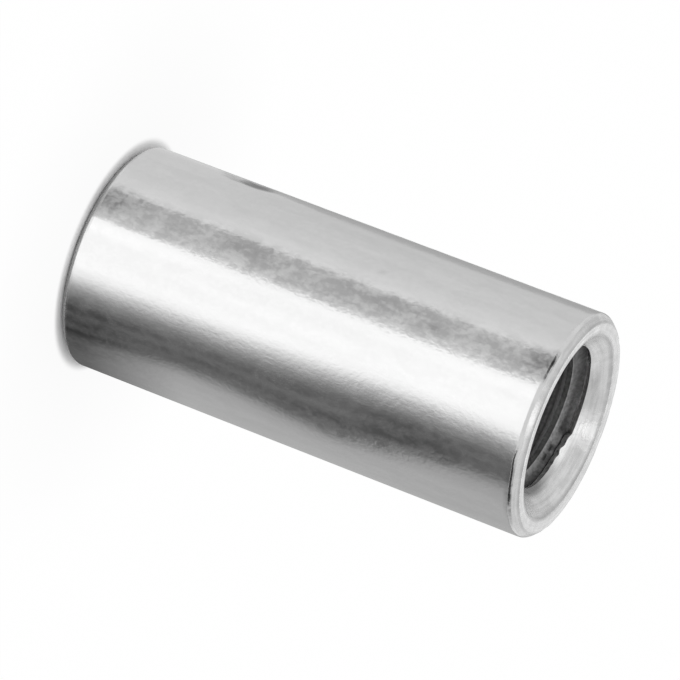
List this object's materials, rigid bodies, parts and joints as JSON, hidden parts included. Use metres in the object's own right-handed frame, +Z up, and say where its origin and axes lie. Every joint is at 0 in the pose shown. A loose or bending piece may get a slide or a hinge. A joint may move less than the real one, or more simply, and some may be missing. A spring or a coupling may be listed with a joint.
{
  "type": "coupling nut",
  "caption": "Round coupling nut: a plain steel sleeve with a thread right through it and a countersink at each end, which joins two threaded rods.",
  "frame": {"origin": "centre of the lower end face, where the nut stands on that end", "axes": "+Z up along the nut's axis and its threaded hole; the thread's groove crosses the lower end on +X"},
  "size_m": [0.011, 0.011, 0.024],
  "materials": {
    "stainless_steel": "bright drawn stainless bar, fine lines along its length, turned end faces, tapped hole"
  },
  "bodies": {
    "root": {"coupling_nut": "stainless_steel"}
  },
  "joints": []
}
